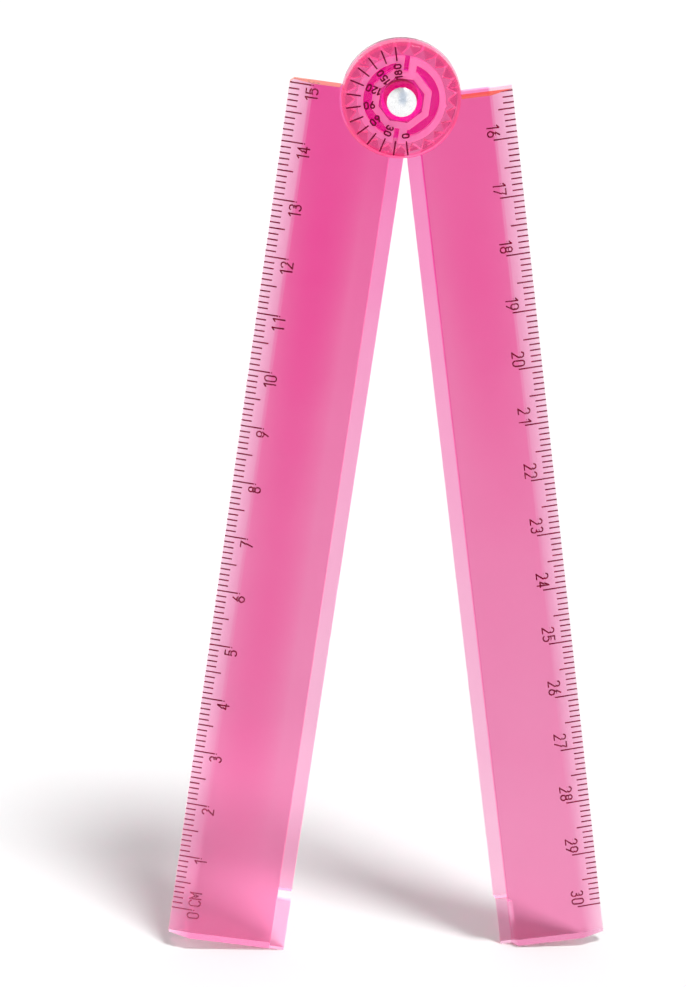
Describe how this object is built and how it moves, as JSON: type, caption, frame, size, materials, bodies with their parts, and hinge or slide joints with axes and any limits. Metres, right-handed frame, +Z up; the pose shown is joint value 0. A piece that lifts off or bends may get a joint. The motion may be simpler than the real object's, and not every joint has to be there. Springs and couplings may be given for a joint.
{
  "type": "folding ruler",
  "caption": "Folding 30 cm ruler in translucent pink plastic: bevelled arms with lapped inner edges, on a riveted protractor hinge with click stops.",
  "frame": {"origin": "middle of the bounding box, on the surface that the two feet stand on", "axes": "+Z up through the hinge end, +X towards the right arm, -Y towards the reader of the protractor, hinge axis along Y"},
  "size_m": [0.077, 0.007, 0.1634],
  "materials": {
    "pink_plastic": "translucent fluorescent pink, polished",
    "rivet_metal": "nickel-plated, polished dome",
    "washer_steel": "plain",
    "scale_ink": "dark pad-printed ink film"
  },
  "bodies": {
    "right_side": {"right_arm": "pink_plastic", "protractor_cover": "pink_plastic", "rivet": "rivet_metal", "rivet_washer": "washer_steel", "right_scale_graduations": "scale_ink", "right_scale_figures": "scale_ink", "protractor_graduations": "scale_ink", "protractor_figures": "scale_ink"},
    "left_side": {"left_arm": "pink_plastic", "detent_spring": "pink_plastic", "left_scale_graduations": "scale_ink", "left_scale_figures": "scale_ink"}
  },
  "joints": [
    {"name": "fold", "type": "hinge", "parent": "right_side", "child": "left_side", "pos_m": [0.00189, 0.0003, 0.1535], "axis": [0, 1, 0], "range_deg": [-15, 165]}
  ]
}
